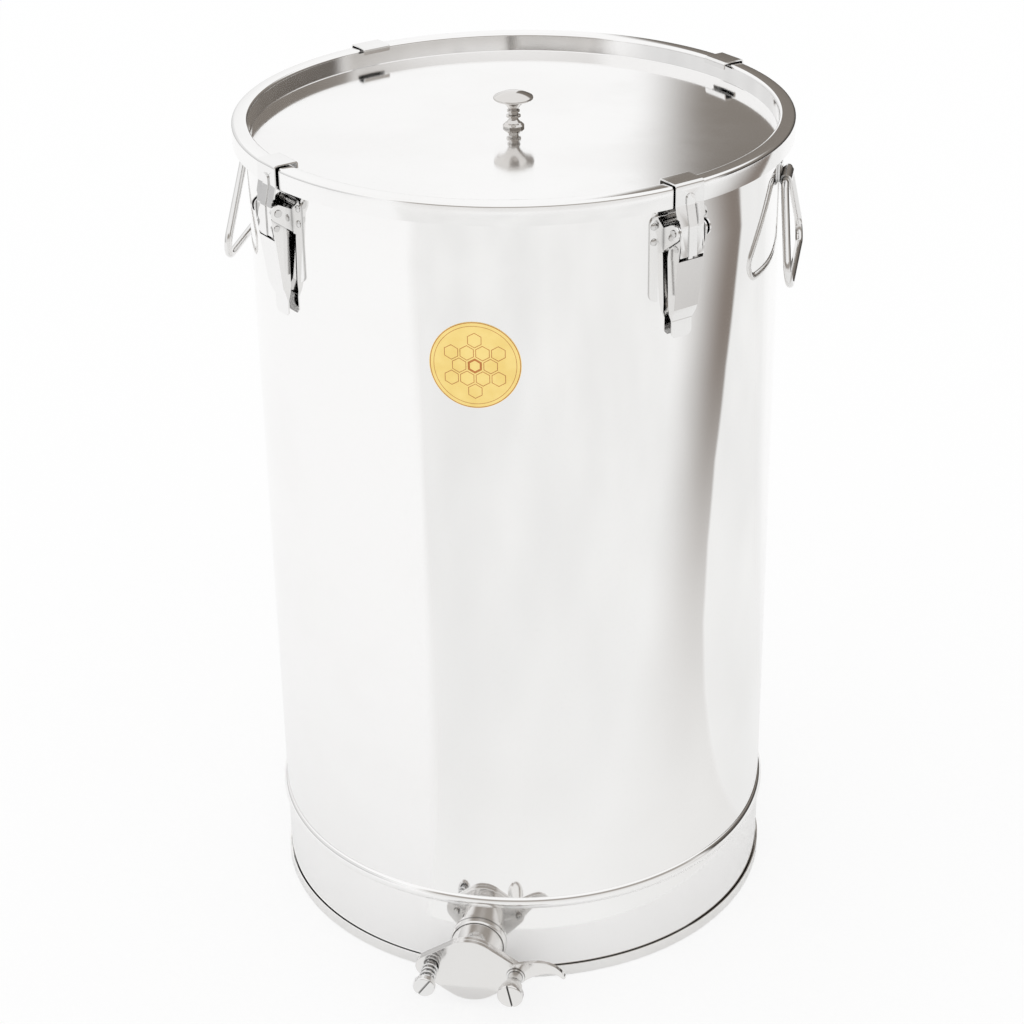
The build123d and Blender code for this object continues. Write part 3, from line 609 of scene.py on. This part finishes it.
def slot_finishes() -> dict[str, Finish]:
    """The finish of each of the record's slots, and of the badge's ink.

    Returns:
        The finishes by slot name.
    """
    # The fittings' last entries paint shade into their corners, slots and gaps.
    return {
        "tank_wall": SteelFinish(
            "steel_wall", (0.95, 0.945, 0.94), stain_share=0.12, roughness=0.045, scuffed=0.075,
            grain_depth=0.0000006, wave_depth=0.0004, weld=Weld()),
        "tank_base": SteelFinish("steel_base", roughness=0.07, scuffed=0.14),
        "lid": SteelFinish(
            "steel_lid", (0.94, 0.935, 0.93), stain_share=0.15, roughness=0.07, scuffed=0.13,
            grain=Grain.ROUND, grain_depth=0.0000008, wave_depth=0.0002),
        "knob": SteelFinish(
            "steel_knob", (0.72, 0.70, 0.68), roughness=0.03, scuffed=0.07,
            grain=Grain.ROUND, painted_corner_shade=PaintedCornerShade(0.005)),
        "latch_plate": SteelFinish(
            "steel_pressed", (0.90, 0.895, 0.89), stain_share=0.25, roughness=0.07, scuffed=0.15,
            painted_corner_shade=PaintedCornerShade(0.006)),
        "fastener": SteelFinish(
            "steel_fastener", (0.72, 0.715, 0.71), roughness=0.08, scuffed=0.16,
            grain=Grain.ROUND, painted_corner_shade=PaintedCornerShade(0.003)),
        "bail_wire": SteelFinish(
            "steel_wire", (0.84, 0.835, 0.83), roughness=0.05, scuffed=0.10,
            grain=Grain.ROUND, painted_corner_shade=PaintedCornerShade(0.004)),
        "valve_cast": SteelFinish(
            "steel_cast", (0.84, 0.83, 0.82), stain_share=0.4, roughness=0.09, scuffed=0.20,
            grain=Grain.CAST, grain_depth=0.000006, painted_corner_shade=PaintedCornerShade(0.004)),
        "valve_turned": SteelFinish(
            "steel_turned", (0.86, 0.855, 0.85), roughness=0.07, scuffed=0.14,
            grain=Grain.ROUND, painted_corner_shade=PaintedCornerShade(0.003)),
        "spring": SteelFinish(
            "steel_spring", (0.80, 0.80, 0.80), roughness=0.10, scuffed=0.18,
            grain=Grain.ROUND, painted_corner_shade=PaintedCornerShade(0.005)),
        "gasket": RubberFinish("silicone"),
        "badge": PrintFinish("badge_gold", srgb(250, 222, 136), srgb(240, 206, 112)),
        "badge_ink": PrintFinish("badge_ink", srgb(196, 122, 44), srgb(170, 98, 34)),
    }


@dataclass
class Wardrobe:
    """Every finish, made once, by the record's slot name."""

    finishes: dict[str, Finish] = field(default_factory=slot_finishes)
    made: dict[str, bpy.types.Material] = field(default_factory=dict)

    def dress(self, item: bpy.types.Object, slot: str) -> None:
        """Give an object the finish of a slot, in all its material slots.

        Args:
            item: The object.
            slot: The slot's name.
        """
        if slot not in self.made:
            self.made[slot] = self.finishes[slot].material()
        if not item.material_slots:
            item.data.materials.append(self.made[slot])
        for place in item.material_slots:
            place.material = self.made[slot]


@dataclass(frozen=True)
class EdgeRound:
    """How a carried node's edges are rounded. Lengths in metres, angles in degrees."""

    same_point: float = 1e-6
    flat: float = 0.3
    turn: float = 32.0
    steps: int = 2

    def clean(self, mesh: bmesh.types.BMesh) -> None:
        """Join double points and the facets of flat faces.

        Args:
            mesh: The mesh, changed in place.
        """
        bmesh.ops.remove_doubles(mesh, verts=mesh.verts, dist=self.same_point)
        bmesh.ops.dissolve_limit(mesh, angle_limit=math.radians(self.flat), verts=mesh.verts,
                                 edges=mesh.edges)

    def bevel(self, item: bpy.types.Object, width: float) -> None:
        """Round the sharp edges.

        Args:
            item: The object.
            width: The rounding's width.
        """
        step = item.modifiers.new("edge", "BEVEL")
        step.width, step.segments, step.limit_method = width, self.steps, "ANGLE"
        step.angle_limit = math.radians(self.turn)
        step.harden_normals = step.use_clamp_overlap = True
        bake(item)


class Assembly:
    """What every group of pieces shares: the frame, the finishes and how a node is carried over."""

    def __init__(self, frame: dict[str, Any], wardrobe: Wardrobe) -> None:
        """Keep the frame and the finishes.

        Args:
            wardrobe: The finishes.
        """
        self.frame = frame
        self.wardrobe = wardrobe
        self.rounding = EdgeRound()
        bodies = frame["record"]["behaviour"]["bodies"]
        self.body_of = {node: body for body, nodes in bodies.items() for node in nodes}
        self.slot_of = {part["node"]: part["material_slot"] for part in frame["record"]["subparts"]}

    def stand_in(self, item: bpy.types.Object, node: str) -> bpy.types.Object:
        """Let a piece take a CAD node's place, body and finish.

        Args:
            item: The new piece, in place.
            node: The node that it replaces.

        Returns:
            The piece.
        """
        self.wardrobe.dress(item, self.slot_of[node])
        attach(item, self.body_of[node])
        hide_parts(node)
        LOG.info("%s stands for %s", item.name, node)
        return item

    def carry(self, node: str, form: Form = Form.KEPT, edge: float = 0.25) -> None:
        """Carry a CAD node over with its finish, as it is or with its edges rounded.

        Args:
            node: The node's name.
            form: Whether its edges are rounded.
            edge: How wide the rounding is, in millimetres.
        """
        source = self.frame["nodes"][node]
        if form is Form.KEPT:
            self.wardrobe.dress(source, self.slot_of[node])
            LOG.info("%s kept", node)
            return
        mesh = bmesh.new()
        mesh.from_mesh(source.data)
        mesh.transform(source.matrix_world)
        self.rounding.clean(mesh)
        item = mesh_object(node + "_soft", mesh)
        item.data.materials.clear()
        self.rounding.bevel(item, edge * MM)
        self.stand_in(item, node)


@dataclass
class TankShell:
    """The wall, its bottom and their edges, turned with fine steps so that reflections run smooth."""

    radius: float = 200.0
    thickness: float = 0.8
    bead_z: float = 71.5
    bead_half: float = 5.0
    bead_out: float = 3.0
    bead_steps: int = 14
    curl: float = 3.6
    curl_z: float = 641.0
    curl_steps: int = 20
    low: float = 0.85
    low_rings: int = 6
    high_rings: tuple[float, ...] = (140, 260, 380, 500, 600)
    hem_top: float = 9.8
    hem_bend: float = 0.6
    hem_in: float = 0.2
    hem_out: float = 0.8
    bottom_z: float = 10.4
    valve_z: float = 33.2
    valve_hole: float = 20.7
    hole_steps: int = 64
    hole_depth: float = 50.0

    def wall_line(self) -> list[Point]:
        """The middle of the wall's sheet.

        Returns:
            Its points from the lower edge to the end of the rolled top.
        """
        mid = self.radius - self.thickness / 2
        ball = (self.bead_half**2 + self.bead_out**2) / (2 * self.bead_out)
        half = math.degrees(math.asin(self.bead_half / ball))
        bead = arc((mid + self.bead_out - ball, self.bead_z), ball, -half, half, self.bead_steps)
        rise = self.bead_z - self.bead_half - self.low
        skirt = [(mid, self.low + i * rise / self.low_rings) for i in range(self.low_rings)]
        top = arc((mid + self.curl, self.curl_z), self.curl, 180, -90, self.curl_steps)
        return [*skirt, *bead, *((mid, z) for z in self.high_rings), *top]

    def bottom_line(self) -> list[Point]:
        """The middle of the bottom's sheet.

        Returns:
            Its points from the axis, down inside the wall and up outside it.
        """
        half = self.thickness / 2
        inner = self.radius - self.thickness - self.hem_in - half
        outer = self.radius + self.hem_out + half
        corners = [
            (0, self.bottom_z), (inner, self.bottom_z), (inner, half),
            (outer, half), (outer, self.hem_top),
        ]
        return rounded(corners, [self.hem_bend] * 3)

    def hole_tool(self) -> bpy.types.Object:
        """What cuts the wall's hole for the gate's pipe.

        Returns:
            A rod along Y through the front of the wall.
        """
        tool = bmesh.new()
        bmesh.ops.create_cone(tool, cap_ends=True, segments=self.hole_steps, radius1=self.valve_hole * MM,
                              radius2=self.valve_hole * MM, depth=self.hole_depth * MM)
        move = Matrix.Translation((0, -self.radius * MM, self.valve_z * MM))
        tool.transform(move @ Matrix.Rotation(math.pi / 2, 4, "X"))
        return mesh_object("hole_tool", tool)

    def build(self, kit: Assembly) -> None:
        """Make the wall with its hole, and the bottom.

        Args:
            kit: The frame and the finishes.
        """
        wall = mesh_object("tank_wall", lathe(sheet(self.wall_line(), self.thickness)))
        cut(wall, self.hole_tool())
        kit.stand_in(wall, "tank_body")
        bottom = mesh_object("tank_floor", lathe(sheet(self.bottom_line(), self.thickness)))
        kit.stand_in(bottom, "tank_bottom")


@dataclass
class LidTop:
    """The lid's plate in its well, and the knob with its screw."""

    radius: float = 209.5
    top: float = 651.0
    inner: float = 197.0
    plate_z: float = 636.5
    skirt_low: float = 635.7
    thickness: float = 0.8
    bend: float = 2.2
    hole: float = 2.6
    kept: tuple[str, ...] = ("lid_gasket", "lid_knob", "knob_screw", "knob_washer")

    def build(self, kit: Assembly) -> None:
        """Make the lid and carry the knob's pieces over.

        Args:
            kit: The frame and the finishes.
        """
        half = self.thickness / 2
        corners = [
            (self.hole, self.plate_z - half), (self.inner + half, self.plate_z - half),
            (self.inner + half, self.top - half), (self.radius - half, self.top - half),
            (self.radius - half, self.skirt_low),
        ]
        line = rounded(corners, [self.bend / 2, self.bend, self.bend])
        kit.stand_in(mesh_object("lid_sheet", lathe(sheet(line, self.thickness))), "lid")
        for node in self.kept:
            kit.carry(node)


@dataclass
class Latches:
    """Four toggle latches."""

    names: tuple[str, ...] = ("front_left", "front_right", "rear_right", "rear_left")
    edge: float = 0.22

    def build(self, kit: Assembly) -> None:
        """Carry each latch over with rounded sheet edges.

        Args:
            kit: The frame and the finishes.
        """
        for name in self.names:
            for piece in ("base", "lever", "strap"):
                kit.carry(f"latch_{name}_{piece}", Form.SOFTENED, self.edge)
            for piece in ("lever_pin", "strap_pin", "rivets"):
                kit.carry(f"latch_{name}_{piece}")


@dataclass
class Handles:
    """Two bail handles on their brackets."""

    names: tuple[str, ...] = ("left", "right")
    edge: float = 0.25

    def build(self, kit: Assembly) -> None:
        """Carry each handle over.

        Args:
            kit: The frame and the finishes.
        """
        for name in self.names:
            kit.carry(f"handle_{name}_bracket", Form.SOFTENED, self.edge)
            kit.carry(f"handle_{name}_bail")
            kit.carry(f"handle_{name}_rivets")


@dataclass
class HoneyGate:
    """The pipe, the swinging plate and what holds them."""

    softened: tuple[str, ...] = ("valve_body", "gate_plate", "clamp_nut", "valve_collar")
    kept: tuple[str, ...] = ("valve_seal", "gate_pivot_screw", "gate_spring", "clamp_stud", "clamp_washer")
    edge: float = 0.5

    def build(self, kit: Assembly) -> None:
        """Carry the gate over.

        Args:
            kit: The frame and the finishes.
        """
        for node in self.softened:
            kit.carry(node, Form.SOFTENED, self.edge)
        for node in self.kept:
            kit.carry(node)


@dataclass
class Badge:
    """The round badge with two rings and a few honeycomb cells printed on it, in millimetres.

    Each of rings holds how far inside the rim a ring starts and ends.
    """

    azimuth: float = 2.1
    height: float = 529.7
    radius: float = 32.5
    face: float = 200.35
    lift: float = 0.04
    rings: tuple[Point, ...] = ((0.25, 0.8), (3.0, 3.35))
    ring_steps: int = 96
    cell: float = 6.4
    cell_share: float = 0.9
    cell_drop: float = 0.5
    comb_share: float = 0.66
    line: float = 0.55
    heavy: float = 3.2

    def wrap(self, u: float, v: float) -> Vector:
        """The place of a point on the badge's curved face.

        Args:
            u: How far it is sideways from the centre.
            v: How far up.

        Returns:
            The place in metres.
        """
        angle = math.radians(self.azimuth) + u / self.face
        r = (self.face + self.lift) * MM
        return Vector((r * math.sin(angle), -r * math.cos(angle), (self.height + v) * MM))

    def ribbon(self, mesh: bmesh.types.BMesh, shape: Sequence[Point], centre: Point, outer: float,
               inner: float) -> None:
        """Fill the line between a closed shape and a smaller one in it.

        Args:
            mesh: Where the faces go.
            shape: The shape's corners at a radius of 1.
            centre: Its centre on the badge.
            outer, inner: The line's two radii.
        """
        a, b = ([mesh.verts.new(self.wrap(centre[0] + reach * x, centre[1] + reach * y)) for x, y in shape]
                for reach in (outer, inner))
        for i in range(len(shape)):
            j = (i + 1) % len(shape)
            mesh.faces.new((a[i], a[j], b[j], b[i]))

    def cells(self) -> Iterable[tuple[Point, float]]:
        """The cells of the comb.

        Returns:
            Each cell's centre, and how many times the usual its line is wide.
        """
        step = self.cell * math.sqrt(3)
        for row in range(-2, 3):
            for column in range(-2, 3):
                u = (column + (row % 2) / 2) * step
                v = row * self.cell * 1.5
                if math.hypot(u, v) < self.radius * self.comb_share:
                    yield (u, v - self.cell_drop), 1.0 if (row + 2 * column) % 4 else self.heavy

    def build(self, kit: Assembly) -> None:
        """Carry the disc over and print the rings and the cells.

        Args:
            kit: The frame and the finishes.
        """
        kit.carry("badge")
        mesh = bmesh.new()
        turns = [2 * math.pi * i / self.ring_steps for i in range(self.ring_steps)]
        circle = [(math.cos(t), math.sin(t)) for t in turns]
        for start, end in self.rings:
            self.ribbon(mesh, circle, (0.0, 0.0), self.radius - start, self.radius - end)
        hexagon = [(math.sin(math.radians(60 * i)), math.cos(math.radians(60 * i))) for i in range(6)]
        big = self.cell * self.cell_share
        for centre, weight in self.cells():
            self.ribbon(mesh, hexagon, centre, big, big - self.line * weight)
        item = mesh_object("badge_print", mesh)
        kit.wardrobe.dress(item, "badge_ink")
        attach(item, kit.body_of["badge"])
        LOG.info("badge_print made")


@dataclass(frozen=True)
class Card:
    """A part of the room round the tank, seen only in reflections.

    Each row holds its distance from the tank's axis, its height, and the two angles from +X, towards +Y,
    that it spans. V runs from the first row to the last, U from the first angle to the second.
    """

    finish: CardFinish
    rows: tuple[tuple[float, float, float, float], ...]
    columns: int = 24

    def build(self) -> None:
        """Make the card."""
        mesh = bmesh.new()
        layer = mesh.loops.layers.uv.new("UVMap")
        span = [math.hypot(row[0] - self.rows[0][0], row[1] - self.rows[0][1]) for row in self.rows]
        across = [i / self.columns for i in range(self.columns + 1)]
        grid = []
        for (reach, height, first, last), along in zip(self.rows, span):
            turns = [math.radians(first + (last - first) * u) for u in across]
            points = [mesh.verts.new((reach * math.cos(t), reach * math.sin(t), height)) for t in turns]
            grid.append([(point, (u, along / span[-1])) for point, u in zip(points, across)])
        for low, high in zip(grid, grid[1:]):
            for i in range(self.columns):
                corners = (low[i], low[i + 1], high[i + 1], high[i])
                face = mesh.faces.new([point for point, _ in corners])
                for loop, (_, uv) in zip(face.loops, corners):
                    loop[layer].uv = uv
        item = mesh_object(self.finish.name, mesh)
        item.data.materials.append(self.finish.material())
        item.visible_camera = item.visible_shadow = item.visible_diffuse = False


@dataclass(frozen=True)
class Eye:
    """The photograph's camera, fitted to the tank's ellipses. Place in metres, angles in radians."""

    place: Triple = (0.0, -1.72573, 1.20373)
    pitch: float = 0.4768
    yaw: float = -0.0033
    roll: float = -0.0157
    turn: float = math.radians(10.5)
    focal: float = 2399.34
    sensor: float = 36.0
    pixels: float = 1024.0
    clip: Point = (0.05, 60.0)

    def build(self) -> None:
        """Set the camera where the photograph was taken from."""
        sw, cw, sp, cp = math.sin(self.yaw), math.cos(self.yaw), math.sin(self.pitch), math.cos(self.pitch)
        forward = Vector((sw * cp, cw * cp, -sp))
        right = Vector((cw, -sw, 0.0))
        up = right.cross(forward)
        cr, sr = math.cos(self.roll), math.sin(self.roll)
        right, up = cr * right + sr * up, -sr * right + cr * up
        spin = Matrix.Rotation(self.turn, 3, "Z")
        basis = Matrix((spin @ right, spin @ up, spin @ -forward)).transposed()
        data = bpy.data.cameras.new("camera")
        data.sensor_width, data.lens = self.sensor, self.focal / self.pixels * self.sensor
        data.clip_start, data.clip_end = self.clip
        item = bpy.data.objects.new("camera", data)
        item.matrix_world = Matrix.Translation(spin @ Vector(self.place)) @ basis.to_4x4()
        bpy.context.collection.objects.link(item)
        bpy.context.scene.camera = item


@dataclass
class Studio:
    """A white room lit by its walls, the cards that the steel mirrors, and the camera."""

    white: tuple[float, float, float, float] = (1, 1, 1, 1)
    floor_half: float = 12.0
    floor_cells: int = 8
    floor_drop: float = 0.0004
    # The tank's painted shadow on the floor, seen only in reflections: each row holds its distance from the
    # axis and the two angles that it spans.
    painted_shadow_height: float = 0.002
    painted_shadow_rows: tuple[Triple, ...] = (
        (0.26, -64.0, 7.8), (0.35, -60.0, 2.0), (0.42, -54.0, 0.3), (0.52, -45.0, -0.4), (0.65, -36.0, 1.0),
        (0.81, -28.0, 5.0), (1.0, -22.0, 10.3), (1.25, -17.0, 18.0), (1.5, -13.0, 24.5), (1.8, -8.0, 30.0),
        (2.5, 0.0, 44.0))

    def cards(self) -> list[Card]:
        """The dim parts of the room.

        Returns:
            A greyer strip of floor, the tank's painted shadow on it, dark and warm far out and narrowing
            towards the tank, a shaded front, the dark room behind and the grey left side.
        """
        paper, painted_shadow_tone = (0.93, 0.93, 0.925), (0.25, 0.215, 0.19)
        return [
            Card(CardFinish("card_floor", paper, paper, soft=(0.02, 0.1, 0, 0)),
                 ((0.26, 0.001, -110.0, 60.0), (0.9, 0.001, -119.0, 60.0), (2.6, 0.001, -127.0, 60.0))),
            # painted shadow: the tank's cast shadow on the floor, painted on a card that only reflections see
            Card(CardFinish("card_painted_tank_shadow", (0.89, 0.885, 0.875), painted_shadow_tone, (0.0, 0.53), (0.85, 0.06, 0, 0)),
                 tuple((reach, self.painted_shadow_height, first, last) for reach, first, last in self.painted_shadow_rows)),
            Card(CardFinish("card_front", (0.87, 0.86, 0.85), (0.4, 0.37, 0.34), (0.2, 0.5),
                            (0.1, 0.1, 0, 0.25)),
                 ((2.8, 0.0, -130.0, 10.0), (2.8, 2.6, -130.0, 10.0))),
            Card(CardFinish("card_back", (0.07, 0.063, 0.058), (0.25, 0.225, 0.2), (0.15, 0.6),
                            (0.1, 0.025, 0, 0.25)),
                 ((2.9, 0.0, 0.0, 97.0), (2.9, 2.9, 0.0, 97.0))),
            Card(CardFinish("card_left", (0.6, 0.6, 0.6), (0.85, 0.85, 0.85), (0.0, 0.6), (0.2, 0.2, 0, 0.3)),
                 ((3.0, 0.0, 100.0, 235.0), (3.0, 1.9, 100.0, 235.0))),
        ]

    def light(self) -> None:
        """Light the room from all sides with plain white."""
        world = bpy.data.worlds.new("room")
        world.use_nodes = True
        world.node_tree.nodes["Background"].inputs["Color"].default_value = self.white
        world.node_tree.nodes["Background"].inputs["Strength"].default_value = 1.0
        bpy.context.scene.world = world
        bpy.context.scene.view_settings.view_transform = "Standard"

    def floor(self) -> None:
        """Lay the floor, a hair under the tank's foot."""
        mesh = bmesh.new()
        cells = self.floor_cells
        bmesh.ops.create_grid(mesh, x_segments=cells, y_segments=cells, size=self.floor_half)
        floor = mesh_object("floor", mesh)
        floor.location.z = -self.floor_drop
        floor.data.materials.append(FloorFinish().material())

    def build(self) -> None:
        """Make the room."""
        self.light()
        self.floor()
        for card in self.cards():
            card.build()
        Eye().build()


def main() -> None:
    """Build every group in order."""
    logging.basicConfig(level=logging.INFO, format="%(name)s: %(message)s")
    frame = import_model()
    kit = Assembly(frame, Wardrobe())
    groups: list[tuple[str, Callable[[], None]]] = [
        ("shell", lambda: TankShell().build(kit)), ("lid", lambda: LidTop().build(kit)),
        ("latches", lambda: Latches().build(kit)), ("handles", lambda: Handles().build(kit)),
        ("gate", lambda: HoneyGate().build(kit)), ("badge", lambda: Badge().build(kit)),
        ("studio", Studio().build),
    ]
    for name, build in groups:
        LOG.info("building the %s", name)
        build()


if __name__ == "__main__":
    main()
